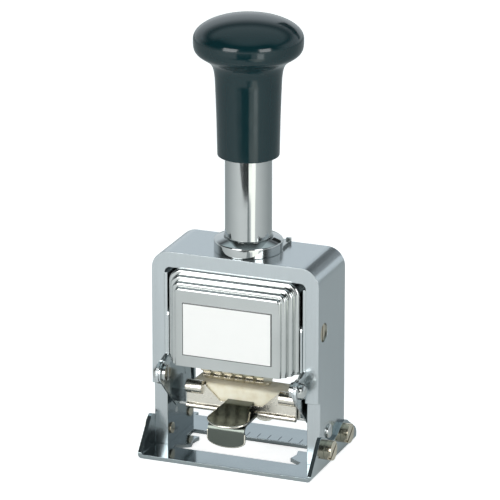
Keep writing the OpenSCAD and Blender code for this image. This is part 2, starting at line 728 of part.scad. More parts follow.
module ink_arm() difference() {
  side(arm_x0, arm_t) polygon(concat([for (a = [214:-14.8:66]) pivot + arm_boss_r * [cos(a), sin(a)]],
    [[-arm_front, pivot[1] + arm_shoulder]],
    [for (a = [180:-25:30]) arm_at(stroke) + arm_tip_r * [cos(a), sin(a)]],
    [for (a = [66:-22:0]) arm_at(0) + arm_lobe_r * [cos(a), sin(a)]],
    [[arm_waist, arm_waist_z], [tray_rear, side_wall_z], [tray_rear, rail_z], [tray_front, rail_z]]));
  side(arm_x0 - over, arm_t + over + over) track(arm_path(), pin_r + arm_slot_gap);
  rod(pivot_shank_r + run, arm_x0 - over, arm_x1 + over, pivot);
}
module ink_arm_right() color("#8f979c") ink_arm();
module ink_arm_left() color("#8f979c") mirror([1, 0, 0]) ink_arm();
module ink_tray() color("#9aa2a7") {
  both() {
    box(holder_half - rail_in, arm_x0, tray_front + tray_lip, tray_rear, rail_z, rail_z + rail_t);
    box(holder_half + tray_play, holder_half + tray_play + rail_t, tray_front + tray_lip, tray_rear, rail_z,
      side_wall_z);
  }
  box(-holder_half - rail_t, holder_half + rail_t, tray_rear - rail_t, tray_rear, rail_z, holder_back_z);
}

module pad_holder() color("#b9b3a4") {
  box(-holder_half, holder_half, tray_front, holder_rear, floor_z, floor_z + floor_t);
  front(tray_front, holder_wall) difference() {
    translate([-holder_half, floor_z]) square([holder_half + holder_half, front_wall_z - floor_z]);
    polygon([[-cut_low, cut_z], [cut_low, cut_z], [cut_top, front_wall_z + over],
      [-cut_top, front_wall_z + over]]);
  }
  both() {
    box(holder_half - holder_wall, holder_half, tray_front, holder_rear, floor_z, side_wall_z);
    rod(boss_r, boss_in, boss_out, [boss_y, boss_z]);
  }
  rod(bar_r, -holder_half, holder_half, [tray_front + bar_back, floor_z - bar_up]);
  front(tongue_y, tongue_t) {
    translate([tongue_x - tongue_half, tongue_low + tongue_r])
      square([tongue_half + tongue_half, floor_z - tongue_low - tongue_r]);
    translate([tongue_x, tongue_low + tongue_r]) scale([tongue_half / tongue_r, 1]) circle(r = tongue_r);
  }
}
module ink_pad() color("#e9dfc4") difference() {
  box(-holder_half + holder_wall + pad_gap, holder_half - holder_wall - pad_gap,
    tray_front + holder_wall + pad_gap, holder_rear - pad_gap, floor_z + floor_t, pad_top);
  both() rod(boss_r + boss_play, boss_in - boss_play, boss_out + boss_play, [boss_y, boss_z]);
}

// a leaf seen from the side: a flat strap that bends down through a quarter circle
function leaf(y0, z0, y1, z1, r) = concat([[y0, z0]],
  [for (i = [0:bends]) [y1 + r - r * sin(90 * i / bends), z0 - r + r * cos(90 * i / bends)]], [[y1, z1]]);
function turned(p) = [for (i = [len(p) - 1:-1:0]) p[i]];
module leaf_sheet(y0, z0, y1, z1, r)
  polygon(concat(leaf(y0, z0, y1, z1, r), turned(leaf(y0, z0 - tab_t, y1 + tab_t, z1, r - tab_t))));
// a leaf's front view: straight sides that end in half an ellipse
module leaf_end(half, low, round, top) polygon(concat(
  [for (a = [180:12:360]) [tab_x + half * cos(a), low + round + round * sin(a)]],
  [[tab_x + half, top], [tab_x - half, top]]));
// the upper tab's top from the side: flat where it rests in the holder's cut, then a slope to a flatter tip
function tab_top() = [[tray_front + holder_wall, cut_z + tab_t], [tab_bend_y, cut_z + tab_t], tab_dip,
  tab_tip + (tab_tip - tab_dip) / 2];
// half of its plan: half an ellipse at the tip, a flare, and the straight strap
function tab_plan(s, a0) = concat(
  [for (a = [a0:9:90]) [tab_x + s * tab_w / 2 * sin(a), tab_tip[0] + tab_end * (1 - cos(a))]],
  [[tab_x + s * strap_w / 2, tab_tip[0] + tab_end + tab_flare], [tab_x + s * strap_w / 2, tray_front + over]]);
module upper_finger_tab() color("#4d5550") intersection() {
  side(tab_x - tab_w, tab_w + tab_w) polygon(concat(tab_top(), turned([for (p = tab_top()) p - [0, tab_t]])));
  linear_extrude(cut_z + tab_t + over) polygon(concat(tab_plan(-1, 9), turned(tab_plan(1, 0))));
}
module lower_finger_tab() color("#4d5550") intersection() {
  side(tab_x - low_tab_w / 2, low_tab_w)
    leaf_sheet(tray_front + bar_back - bar_r, low_tab_z + tab_t, low_tab_y, low_tab_low, low_tab_r);
  front(low_tab_y - over, tray_front - low_tab_y + over + over)
    leaf_end(low_tab_w / 2, low_tab_low, low_tab_round, low_tab_z + tab_t + over);
}

// one numbering wheel with ten type faces and a ratchet
module type_wheel(i) color("#b9a877") translate([wheel_x0 + i * wheel_pitch, 0, 0]) difference() {
  union() {
    rod(rim_r, wheel_gap, wheel_gap + disc_t, [0, shaft_z]);
    translate([0, 0, shaft_z]) for (k = [0:teeth - 1]) rotate([360 / teeth * k, 0, 0])
      box(wheel_gap, wheel_gap + disc_t, -type_w / 2, type_w / 2, rim_r - over, type_top);
    translate([0, 0, shaft_z]) side(wheel_gap + disc_t, ratchet_t) polygon([for (k = [0:teeth - 1])
      for (r = [[ratchet_r, 0], [ratchet_r - tooth_h, tooth_turn]]) let (a = 360 / teeth * k + r[1])
        [r[0] * cos(a), r[0] * sin(a)]]);
  }
  rod(shaft_r + run, -over, wheel_pitch + over, [0, shaft_z]);
}
module type_wheel_1() type_wheel(0);
module type_wheel_2() type_wheel(1);
module type_wheel_3() type_wheel(2);
module type_wheel_4() type_wheel(3);
module type_wheel_5() type_wheel(4);
module type_wheel_6() type_wheel(5);

module pawl_arms() color("#8f979c") for (x = [pawl_left, pawl_right]) difference() {
  translate([0, 0, shaft_z]) side(x, pawl_t) {
    circle(r = pawl_boss_r);
    polygon(concat([[0, 0]], fan(comb_r1, comb_a0, rod_deg)));
    translate([rod_arm * cos(rod_deg), rod_arm * sin(rod_deg)]) circle(r = rod_r + rod_lobe);
  }
  rod(shaft_r + run, x - over, x + pawl_t + over, [0, shaft_z]);
  rod(rod_r, x - over, x + pawl_t + over, head_at(rod_deg));
}
module pawl_comb() color("#7d858a") translate([0, 0, shaft_z]) {
  side(pawl_left + pawl_t, pawl_right - pawl_left - pawl_t) sector(comb_r0, comb_r1, comb_a0, comb_a1);
  for (i = [0:wheels - 1]) side(wheel_x0 + i * wheel_pitch + finger_x, finger_w)
    sector(finger_r, comb_r0 + comb_lap, finger_a0, finger_a1);
}
module index_rod() color("#dfe3e6") rod(rod_r, rod_end - leg_x, leg_x - rod_end, head_at(rod_deg));

base_plate();
frame_yoke();
guide_bush();
key_pin();
spring_seat();
side_plate_left();
side_plate_right();
side_screws();
pad_pivot_screws();
base_screws();
leg_rivets();
lock_slide();
handle_knob();
knob_stud();
plunger_tube();
tube_plug();
tube_flange();
hanger_nut();
head_case();
front_cover();
back_cover();
label_plate();
wheel_hanger();
wheel_shaft();
shaft_clips();
wheel_spacers();
detent_comb();
cam_pins();
return_spring();
ink_arm_left();
ink_arm_right();
ink_tray();
pad_holder();
ink_pad();
upper_finger_tab();
lower_finger_tab();
type_wheel_1();
type_wheel_2();
type_wheel_3();
type_wheel_4();
type_wheel_5();
type_wheel_6();
pawl_arms();
pawl_comb();
index_rod();
selector_knob();
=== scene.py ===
# %% [markdown]
# # Numbering machine
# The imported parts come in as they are, in metres, with the plunger's axis upright at x = y = 0 and the
# base plate on z = 0. What shows most is built again here as smooth surfaces from formulas, each one
# inside the part that it stands for, and everything gets a finish made of nodes.

# %% Load the parts
import math
import bmesh
import bpy
import numpy as np
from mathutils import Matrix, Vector


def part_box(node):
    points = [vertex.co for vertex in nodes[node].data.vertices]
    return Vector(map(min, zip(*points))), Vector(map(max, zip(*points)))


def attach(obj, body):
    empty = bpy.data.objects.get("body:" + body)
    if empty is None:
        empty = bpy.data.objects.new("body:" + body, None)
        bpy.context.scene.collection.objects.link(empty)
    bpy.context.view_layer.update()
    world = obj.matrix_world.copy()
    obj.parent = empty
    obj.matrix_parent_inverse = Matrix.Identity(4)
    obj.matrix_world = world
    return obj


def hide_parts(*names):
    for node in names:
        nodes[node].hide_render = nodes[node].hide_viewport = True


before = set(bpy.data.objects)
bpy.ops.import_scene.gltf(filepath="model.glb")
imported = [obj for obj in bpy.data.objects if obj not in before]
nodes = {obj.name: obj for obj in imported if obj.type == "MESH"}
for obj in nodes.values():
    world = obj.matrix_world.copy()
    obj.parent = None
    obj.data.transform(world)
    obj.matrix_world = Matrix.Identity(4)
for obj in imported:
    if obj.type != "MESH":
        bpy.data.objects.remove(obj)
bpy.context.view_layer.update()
given = len(bpy.data.materials)
MM = 0.001

# %% [markdown]
# ## Tools for nodes
# A finish is a Principled shader with a few helpers: noise at a stated size, a colour ramp and a bump.
# Real sheet metal has no knife edges. A Bevel node bends the normal near each edge of a part, so its
# rims catch a thin bright line with no change to the solid.

# %% Node helpers
EDGE = 0.3 * MM


def main(m):
    """The material's Principled shader."""
    return m.node_tree.nodes["Principled BSDF"]


def shader(name, colour, metal=0.0, rough=0.4, **more):
    """A material with one Principled shader, its constants set straight on the sockets."""
    m = bpy.data.materials.new(name)
    m.use_nodes = True
    p = main(m)
    p.inputs["Base Color"].default_value = (*colour, 1)
    p.inputs["Metallic"].default_value = metal
    p.inputs["Roughness"].default_value = rough
    for key, value in more.items():
        p.inputs[key.replace("_", " ")].default_value = value
    return m


def add(m, kind, **values):
    """Adds a node and sets its properties or sockets by name."""
    n = m.node_tree.nodes.new(kind)
    for key, value in values.items():
        if hasattr(n, key):
            setattr(n, key, value)
        else:
            n.inputs[key.replace("_", " ")].default_value = value
    return n


def link(m, a, b):
    """Joins an output to an input."""
    m.node_tree.links.new(a, b)


def ramp(m, source, stops):
    """Turns a 0-1 value into a colour that runs through the stops [(place, (r, g, b)), ...]."""
    r = add(m, "ShaderNodeValToRGB")
    e = r.color_ramp.elements
    while len(e) < len(stops):
        e.new(0.5)
    for k, (place, c) in enumerate(stops):
        e[k].position, e[k].color = place, (*c, 1)
    link(m, source, r.inputs["Fac"])
    return r.outputs["Color"]


def spread(m, source, start, end, low, high):
    """Maps a value in a straight line, start to low and end to high, and stays there beyond."""
    r = add(m, "ShaderNodeMapRange", From_Min=start, From_Max=end, To_Min=low, To_Max=high)
    link(m, source, r.inputs["Value"])
    return r.outputs["Result"]


def mixed(m, factor, a, b):
    """The colour a where the factor is 0 and b where it is 1. b is a socket or a plain colour."""
    n = add(m, "ShaderNodeMix", data_type="RGBA")
    link(m, factor, n.inputs["Factor"])
    link(m, a, n.inputs["A"])
    if hasattr(b, "default_value"):
        link(m, b, n.inputs["B"])
    else:
        n.inputs["B"].default_value = (*b, 1)
    return n.outputs["Result"]


def calc(m, kind, a, b=0.0, c=0.0):
    """One Math node; a, b and c are numbers or sockets."""
    n = add(m, "ShaderNodeMath", operation=kind)
    for k, v in enumerate((a, b, c)):
        if hasattr(v, "default_value"):
            link(m, v, n.inputs[k])
        else:
            n.inputs[k].default_value = v
    return n.outputs[0]


def all_of(m, masks):
    """The product of masks that are 0 or 1."""
    out = masks[0]
    for more in masks[1:]:
        out = calc(m, "MULTIPLY", out, more)
    return out


def coords(m, scale=(1, 1, 1)):
    """Object coordinates in metres times scale."""
    t = add(m, "ShaderNodeTexCoord")
    s = add(m, "ShaderNodeMapping")
    s.inputs["Scale"].default_value = scale
    link(m, t.outputs["Object"], s.inputs["Vector"])
    return s.outputs["Vector"]


def xyz(m):
    """Object coordinates in mm, one socket each."""
    s = add(m, "ShaderNodeSeparateXYZ")
    link(m, coords(m, (1 / MM,) * 3), s.inputs["Vector"])
    return s.outputs


def noise(m, scale, detail=3.0, stretch=(1, 1, 1)):
    """Noise with so many features per metre, drawn out along an axis where stretch is small."""
    n = add(m, "ShaderNodeTexNoise", Scale=scale, Detail=detail)
    link(m, coords(m, stretch), n.inputs["Vector"])
    return n.outputs["Fac"]


def colour_by(m, source, stops):
    """Drives the base colour by a ramp."""
    link(m, ramp(m, source, stops), main(m).inputs["Base Color"])


def swap_colour(m, where, colour):
    """Mixes another colour over the base colour, where the mask is 1."""
    base = main(m).inputs["Base Color"]
    link(m, mixed(m, where, base.links[0].from_socket, colour), base)


def rough_by(m, source, low, high):
    """Drives the roughness between low and high."""
    link(m, spread(m, source, 0.0, 1.0, low, high), main(m).inputs["Roughness"])


def relief(m, height=None, strength=0.3, distance=0.03 * MM, edge=EDGE):
    """The normal: rounded edges from a Bevel node, then a bump of the given height on top."""
    out = None
    if edge:
        out = add(m, "ShaderNodeBevel", samples=4, Radius=edge).outputs["Normal"]
    if height is not None:
        b = add(m, "ShaderNodeBump", Strength=strength, Distance=distance)
        link(m, height, b.inputs["Height"])
        if out:
            link(m, out, b.inputs["Normal"])
        out = b.outputs["Normal"]
    link(m, out, main(m).inputs["Normal"])


# %% [markdown]
# ## Finishes
# Polished chrome is a metal with little roughness, and what it shows is the studio: so it only gets a
# faint cloudiness and small changes of gloss from handling. The frame is satin nickel, brushed upright,
# which is noise stretched thin along z. The smooth new pieces need no Bevel node, so their edge is None.

# %% Metals
CLOUD, HANDLING, WAVE, GRAIN = 60, 300, 90, 2200
ALONG_Z = (1, 0.4, 0.02)


def darker(colour, by):
    """The colour times a factor."""
    return tuple(by * c for c in colour)


def chrome(name, colour, rough, edge=EDGE):
    """Plated metal: cloudy by 8 %, its gloss uneven by some 50 %, its surface a little wavy."""
    m = shader(name, colour, 1.0, rough)
    colour_by(m, noise(m, CLOUD, 2), [(0.3, darker(colour, 0.92)), (0.7, colour)])
    rough_by(m, noise(m, HANDLING, 3), 0.6 * rough, 1.6 * rough)
    relief(m, noise(m, WAVE, 1), 0.06, 0.1 * MM, edge)
    return m


def satin(name, colour, rough):
    """Brushed metal: one upright grain drives colour, roughness and relief."""
    m = shader(name, colour, 1.0, rough)
    grain = noise(m, GRAIN, 3, ALONG_Z)
    colour_by(m, grain, [(0.35, darker(colour, 0.95)), (0.65, colour)])
    rough_by(m, grain, 0.9 * rough, 1.15 * rough)
    relief(m, grain, 0.08, 0.02 * MM)
    return m


frame_satin = satin("satin_nickel", (0.52, 0.56, 0.575), 0.22)
plate_chrome = chrome("plate_chrome", (0.355, 0.405, 0.42), 0.10)
bright = chrome("bright_chrome", (0.5, 0.52, 0.51), 0.07)
smooth_chrome = chrome("smooth_chrome", (0.50, 0.52, 0.515), 0.06, None)
cover_chrome = chrome("cover_chrome", (0.55, 0.57, 0.56), 0.09, None)
inside_steel = chrome("inside_steel", (0.58, 0.62, 0.63), 0.15)
warm = chrome("warm_plate", (0.60, 0.54, 0.42), 0.16)
brass = chrome("turned_brass", (0.72, 0.6, 0.38), 0.25)
plain_steel = chrome("plain_steel", (0.5, 0.52, 0.54), 0.3)
# Painted reflection: the tabs' colour is painted dark for the dark that their faces mirror.
tab_painted_dark = chrome("tab_painted_dark_reflection", (0.115, 0.13, 0.115), 0.2, None)
# Painted highlight: the bead along the tabs' rims is a bright cream metal.
rim_highlight = chrome("painted_rim_highlight", (0.85, 0.82, 0.72), 0.2, None)
holder_metal = chrome("holder_nickel", (0.74, 0.71, 0.63), 0.25)
wheel_metal = chrome("wheel_metal", (0.75, 0.70, 0.58), 0.2)
print("metals made", len(bpy.data.materials) - given)

# %% [markdown]
# The knob is black moulded plastic, glossy, with a wavy skin that makes its highlights waver a little.
# The selector is a small part of the same plastic, but duller. The pad is undyed wool felt: its colour
# is mottled over a few millimetres, its relief is as fine as its fibres, and a sheen lights its rim.

# %% Plastic and felt
black = shader("black_gloss", (0.002, 0.019, 0.023), 0.0, 0.11, IOR=1.43)
rough_by(black, noise(black, 120, 3), 0.10, 0.17)
relief(black, noise(black, 45, 2), 0.10, 0.4 * MM, None)

black_small = shader("black_plastic", (0.02, 0.025, 0.027), 0.0, 0.3)
rough_by(black_small, noise(black_small, 300, 3), 0.22, 0.4)
relief(black_small)

felt = shader("felt", (0.8, 0.72, 0.55), 0.0, 0.95, Sheen_Weight=0.25, Sheen_Roughness=0.5)
colour_by(felt, noise(felt, 350, 6),
          [(0.3, (0.84, 0.77, 0.58)), (0.5, (0.92, 0.87, 0.69)), (0.75, (0.95, 0.92, 0.77))])
relief(felt, noise(felt, 2600, 6), 0.5, 0.12 * MM, None)
print("made", [m.name for m in (black, black_small, felt)])

# %% [markdown]
# The label is a bare white plate with a printed hairline around it. The line is drawn by arithmetic on
# Object coordinates: the distance from the plate's middle, in x and in z, against its half sizes.

# %% Label
LINE_W = 0.28
(x0, _, z0), (x1, _, z1) = ([v / MM for v in corner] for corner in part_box("label_plate"))
label_white = shader("label_white", (0.9, 0.9, 0.89), 0.0, 0.35)


def near_edge(value, low, high):
    """1 where a coordinate is nearer than the line's width to one of its two limits."""
    away = calc(label_white, "ABSOLUTE", calc(label_white, "SUBTRACT", value, (low + high) / 2))
    return calc(label_white, "GREATER_THAN", away, (high - low) / 2 - LINE_W)


x, y, z = xyz(label_white)
border = calc(label_white, "MAXIMUM", near_edge(x, x0, x1), near_edge(z, z0, z1))
cloud = calc(label_white, "MULTIPLY", noise(label_white, 150, 3), 0.4)
colour_by(label_white, calc(label_white, "MAXIMUM", border, cloud),
          [(0.0, (0.87, 0.87, 0.85)), (0.5, (0.84, 0.84, 0.82)), (0.75, (0.05, 0.06, 0.06))])
relief(label_white, noise(label_white, 1500, 2), 0.1, 0.02 * MM, None)
print("label in mm", [round(v, 2) for v in (x1 - x0, z1 - z0)])

# %% [markdown]
# The base's rear bar carries a plain scale, one cut every wheel pitch, so that a user can line the print
# up. Each cut is a dark line across the bar: the x coordinate modulo the pitch is compared with the
# cut's half width, within a band of y and on top of the plate only.

# %% Scale on the base
PITCH, FIRST = 4.0, 0.5
CUT_HALF, CUT_Y0, CUT_Y1, CUT_X, PLATE_TOP = 0.16, 6.6, 10.6, 17.0, 1.3
CUT_COLOUR = (0.05, 0.06, 0.07)
x, y, z = xyz(plate_chrome)
beat = calc(plate_chrome, "PINGPONG", calc(plate_chrome, "SUBTRACT", x, FIRST), PITCH / 2)
cut = all_of(plate_chrome, [
    calc(plate_chrome, "LESS_THAN", beat, CUT_HALF), calc(plate_chrome, "GREATER_THAN", y, CUT_Y0),
    calc(plate_chrome, "LESS_THAN", y, CUT_Y1), calc(plate_chrome, "GREATER_THAN", z, PLATE_TOP),
    calc(plate_chrome, "LESS_THAN", calc(plate_chrome, "ABSOLUTE", x), CUT_X)])
swap_colour(plate_chrome, cut, CUT_COLOUR)
print("scale cuts", 1 + 2 * int(CUT_X / PITCH))

# %% [markdown]
# Two finishes get painted shade at places on the part. Low down, the side plates and the ink arms are
# painted darker, but for their front edges, and so is the inside of the frame's legs. It is painted shade,
# as light hardly gets there. Further up both are as bright as the rest.

# %% Painted shade on the insides
FRONT_EDGE, LEG_INSIDE, SHADE_PAINTED_BELOW = -12.9, 26.25, 33.0
x, y, z = xyz(inside_steel)
low = all_of(inside_steel, [calc(inside_steel, "GREATER_THAN", y, FRONT_EDGE),
                            calc(inside_steel, "LESS_THAN", z, SHADE_PAINTED_BELOW)])
# Painted shade: low down and behind their front edges, the side plates and ink arms are darkened.
swap_colour(inside_steel, low, (0.34, 0.39, 0.4))
x, y, z = xyz(frame_satin)
low = all_of(frame_satin, [
    calc(frame_satin, "LESS_THAN", calc(frame_satin, "ABSOLUTE", x), LEG_INSIDE),
    calc(frame_satin, "LESS_THAN", z, SHADE_PAINTED_BELOW)])
# Painted shade: low down, the inside of the frame's legs is darkened.
swap_colour(frame_satin, low, (0.28, 0.32, 0.33))
print("two colours", [m.name for m in (inside_steel, frame_satin)])

# %% [markdown]
# Every part gets its finish by name. What isn't named, pins, rods and the head's shells, is bright
# chrome.

# %% Dress the parts
finish = {"frame_yoke": frame_satin, "base_plate": plate_chrome, "handle_knob": black,
          "label_plate": label_white, "ink_pad": felt, "upper_finger_tab": tab_painted_dark,
          "lower_finger_tab": tab_painted_dark, "selector_knob": black_small, "side_screws": warm,
          "base_screws": warm, "wheel_spacers": brass, "key_pin": plain_steel,
          "spring_seat": plain_steel, "tube_plug": plain_steel, "pad_holder": holder_metal,
          "side_plate_left": inside_steel, "side_plate_right": inside_steel,
          "ink_arm_left": inside_steel, "ink_arm_right": inside_steel}
for name, o in nodes.items():
    o.data.materials.clear()
    o.data.materials.append(wheel_metal if name.startswith("type_wheel") else finish.get(name, bright))
print("finishes made", len(bpy.data.materials) - given)

# %% [markdown]
# ## Tools for surfaces
# Turned, drawn and bent sheet pieces are all one thing: a wall between an outer and an inner surface.
# Both are grids of points, rows by columns, worked out with numpy. Where a hole goes through the wall,
# its cells are left out, and the tool joins the two surfaces around every edge that is left open.

# %% Surface tools
BACK = 90


def wall(outer, inner, keep=None, wrap=False, seam=False):
    """Points and quads of the closed wall between two grids of points (rows, columns, 3).

    Each kept cell has a face on both grids. Where a kept cell has no kept neighbour, a strip joins the
    grids. With wrap the last column meets the first, and with seam the last row meets itself."""
    rows, columns = outer.shape[:2]
    index = np.arange(rows * columns).reshape(rows, columns)
    if wrap:
        index = np.concatenate([index, index[:, :1]], 1)
    a, b, c, d = index[:-1, :-1], index[:-1, 1:], index[1:, 1:], index[1:, :-1]
    keep = np.ones(a.shape, bool) if keep is None else keep
    around = np.pad(keep, 1)
    if wrap:
        around[1:-1, 0], around[1:-1, -1] = keep[:, -1], keep[:, 0]
    if seam:
        around[-1, 1:-1] = keep[-1]
    lift = rows * columns
    quads = [np.stack([a, b, c, d], -1)[keep], np.stack([a, d, c, b], -1)[keep] + lift]
    for s, t, near in ((a, b, around[:-2, 1:-1]), (b, c, around[1:-1, 2:]),
                       (c, d, around[2:, 1:-1]), (d, a, around[1:-1, :-2])):
        quads.append(np.stack([t, s, s + lift, t + lift], -1)[keep & ~near])
    return np.concatenate([outer.reshape(-1, 3), inner.reshape(-1, 3)]), np.concatenate(quads)


def plump(loops, core):
    """Points and quads of a skin of closed loops (loops, points, 3). At both ends it is shut by a loop
    that has shrunk to the core's point, and piece() merges the points of that loop."""
    rows = np.concatenate([core[:1], loops, core[-1:]])
    index = np.arange(rows.shape[0] * rows.shape[1]).reshape(rows.shape[:2])
    index = np.concatenate([index, index[:, :1]], 1)
    quads = np.stack([index[:-1, :-1], index[:-1, 1:], index[1:, 1:], index[1:, :-1]], -1)
    return rows.reshape(-1, 3), quads.reshape(-1, 4)


def piece(name, points, quads, body, slot, material, stands_for=(), angle=40):
    """Makes the mesh from points in mm: doubles are merged, stray edges go, and faces turn outward
    by the sign of the enclosed volume. Edges sharper than the angle stay crisp."""
    me = bpy.data.meshes.new(name)
    me.from_pydata((points * MM).tolist(), [], quads.tolist())
    b = bmesh.new()
    b.from_mesh(me)
    bmesh.ops.remove_doubles(b, verts=b.verts, dist=0.0005 * MM)
    bmesh.ops.delete(b, geom=[e for e in b.edges if not e.link_faces], context="EDGES")
    bmesh.ops.delete(b, geom=[v for v in b.verts if not v.link_faces], context="VERTS")
    if b.calc_volume(signed=True) < 0:
        bmesh.ops.reverse_faces(b, faces=b.faces)
    open_edges = sum(not e.is_manifold for e in b.edges)
    b.to_mesh(me)
    b.free()
    me.shade_smooth()
    me.set_sharp_from_angle(angle=math.radians(angle))
    me.materials.append(material)
    o = bpy.data.objects.new(name, me)
    bpy.context.scene.collection.objects.link(o)
    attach(o, body)
    if stands_for:
        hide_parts(*stands_for)
    print(name, "faces", len(me.polygons), "open edges", open_edges)
    return o


def rounded(path, cuts, n=7):
    """The path with each corner P cut at a distance before and after it, at S and E, and joined by the
    parabola (1-t)^2 S + 2 t (1-t) P + t^2 E. A cut of 0 leaves the corner."""
    p, c = np.asarray(path, float), np.asarray(cuts, float)[:, None]

    def towards(q):
        v = q - p
        return v / np.maximum(np.linalg.norm(v, axis=1, keepdims=True), 1e-9)

    s, e = p + c * towards(np.roll(p, 1, 0)), p + c * towards(np.roll(p, -1, 0))
    t = np.linspace(0, 1, n)[:, None, None]
    arcs = (1 - t) ** 2 * s + 2 * t * (1 - t) * p + t ** 2 * e
    return arcs.transpose(1, 0, 2).reshape(-1, p.shape[1])


def lengths(path):
    """The length of the path up to each of its points."""
    return np.concatenate([[0], np.cumsum(np.linalg.norm(np.diff(path, axis=0), axis=1))])


def directions(path):
    """Unit vectors along the path, from the differences of its points."""
    run = np.gradient(path, axis=0)
    return run / np.linalg.norm(run, axis=1, keepdims=True)


def soften(path, step, width):
    """The path resampled at a step along its length and blurred with a Gaussian weight of the width.
    Its ends stay where they are."""
    p = np.asarray(path, float)
    at = lengths(p)
    s = np.linspace(0, at[-1], int(at[-1] / step) + 1)
    q = np.stack([np.interp(s, at, p[:, k]) for k in range(2)], -1)
    room = np.minimum(s, at[-1] - s)[:, None]
    w = np.exp(-((s[:, None] - s[None]) / np.maximum(np.minimum(width, room / 2), 1e-6)) ** 2 / 2)
    return w @ q / w.sum(1, keepdims=True)


def turned(profile, degrees):
    """A surface of revolution: (r, z) at the angle a becomes (r cos a, r sin a, z)."""
    r, z = np.asarray(profile, float).T
    a = np.radians(degrees)
    return np.stack([np.outer(r, np.cos(a)), np.outer(r, np.sin(a)), np.outer(z, np.ones(len(a)))], -1)


def turns(count, *marks):
    """Angles of a full turn in equal steps, with the marks added."""
    return np.unique(np.round(np.concatenate([np.linspace(0, 360, count + 1)[:-1], marks]), 4))


def at_back(angles, half):
    """True for the cells whose middle angle lies less than half from the back, as one row of a mask."""
    middle = (angles + np.append(angles[1:], 360)) / 2
    return (abs(middle - BACK) < half)[None]


# %% [markdown]
# ## The knob
# The knob is turned or moulded black plastic: a grip that flares into a brim, under a low dome. Its
# profile is measured off the outline, as fractions of the way from the grip's radius to the brim's and
# from the grip's foot to the brim, and carried around the axis. A Screw modifier on a drawn curve would
# do it too, but a short list of numbers is easier to check against the outline. The flare is softened
# along its length so that reflections flow over it, and the dome is a quarter of an ellipse.

# %% Knob
GRIP_R, GRIP_Z, BAND_Z, KNOB_R, KNOB_TOP = 10.8, 108.4, 150.0, 19.05, 157.9
TUBE_R, TUBE_TOP, RUN = 8.2, 131.0, 0.05
FLARE = [(0, 0.0), (0.036, 0.327), (0.073, 0.543), (0.097, 0.663), (0.145, 0.736), (0.23, 0.784),
         (0.388, 0.817), (0.655, 0.851), (0.861, 0.877), (0.958, 0.901), (1, 0.935), (1, 1)]
FLARE_STEP, FLARE_BLUR, FOOT_CUT, DOME_ROWS, KNOB_TURNS = 0.5, 0.9, 0.35, 40, 128
flare = soften([(GRIP_R + a * (KNOB_R - GRIP_R), GRIP_Z + b * (BAND_Z - GRIP_Z)) for a, b in FLARE],
               FLARE_STEP, FLARE_BLUR)
a = np.radians(np.linspace(0, 90, DOME_ROWS + 1)[1:])
dome = np.stack([KNOB_R * np.cos(a), BAND_Z + (KNOB_TOP - BAND_Z) * np.sin(a)], -1)
foot = rounded([(TUBE_R + RUN, GRIP_Z), (GRIP_R, GRIP_Z), tuple(flare[1])], (0, FOOT_CUT, 0))
outline = np.concatenate([foot, flare[1:], dome])
bore = np.full((len(outline), 2), (TUBE_R + RUN, TUBE_TOP))
bore[:len(foot), 1] = GRIP_Z
bore[-1, 0] = 0
spin = turns(KNOB_TURNS)
piece("turned_knob", *wall(turned(outline, spin), turned(bore, spin), wrap=True), "press_head",
      "handle_knob", black, ["handle_knob"])

# %% [markdown]
# ## The plunger's tube and its collar
# The tube is a drawn chrome tube. A slot at its back runs along the key pin, and two notches at the back
# take the lock slide, at rest and with the head down. A Boolean cut would leave long thin faces that
# shade badly on chrome. So all of them are left-out cells of the wall, and a row or a column of points
# runs along each of their edges.

# %% Tube
TUBE_IN, TUBE_LOW, TUBE_TURNS = 7.2, 61.4, 120
KEY_HALF, KEY_Z = 1.85, (70.0, 98.0)
NOTCH_Y, NOTCH_Z = 6.55, ((73.75, 75.35), (98.35, 99.95))
key_a = math.degrees(math.asin(KEY_HALF / TUBE_R))
notch_a = BACK - math.degrees(math.asin(NOTCH_Y / TUBE_R))
spin = turns(TUBE_TURNS, BACK - key_a, BACK + key_a, BACK - notch_a, BACK + notch_a)
heights = np.unique([TUBE_LOW, *KEY_Z, *NOTCH_Z[0], *NOTCH_Z[1], TUBE_TOP])
mid_z = (heights[1:] + heights[:-1])[:, None] / 2
keep = ~((mid_z > KEY_Z[0]) & (mid_z < KEY_Z[1]) & at_back(spin, key_a))
for low, high in NOTCH_Z:
    keep &= ~((mid_z > low) & (mid_z < high) & at_back(spin, notch_a))


def upright(r):
    """The tube's surface of radius r, with a ring of points at each height."""
    return turned(np.stack([np.full(len(heights), r), heights], -1), spin)


piece("drawn_tube", *wall(upright(TUBE_R), upright(TUBE_IN), keep, True), "press_head", "plunger_tube",
      smooth_chrome, ["plunger_tube"])

# %% [markdown]
# The collar is a turned bush: a sleeve in the frame's bar, a flat ring on top of it that the lock slide
# passes through, and a low cone up to the tube. The slide's slot is again made of left-out cells.

# %% Collar
BAR_Z, FRAME_TOP, SLEEVE_R, COLLAR_R, SLOT_TOP, SLOT_Y = 68.4, 74.0, 9.4, 12.1, 75.15, 2.0
RING_TOP, CONE, LIP_Z = 77.8, (8.8, 79.0), 78.4
edge = rounded([(SLEEVE_R, BAR_Z), (SLEEVE_R, FRAME_TOP), (COLLAR_R, FRAME_TOP), (COLLAR_R, SLOT_TOP),
                (COLLAR_R, RING_TOP), CONE, (TUBE_R + RUN, LIP_Z)], (0, 0, 0.25, 0, 0.5, 0.25, 0))
hole = np.stack([np.full(len(edge), TUBE_R + RUN), np.clip(edge[:, 1], BAR_Z, LIP_Z)], -1)
slot_a = BACK - math.degrees(math.asin(SLOT_Y / COLLAR_R))
spin = turns(TUBE_TURNS, BACK - slot_a, BACK + slot_a)
mid_z = (edge[1:, 1] + edge[:-1, 1])[:, None] / 2
wide = np.maximum(edge[1:, 0], edge[:-1, 0])[:, None]
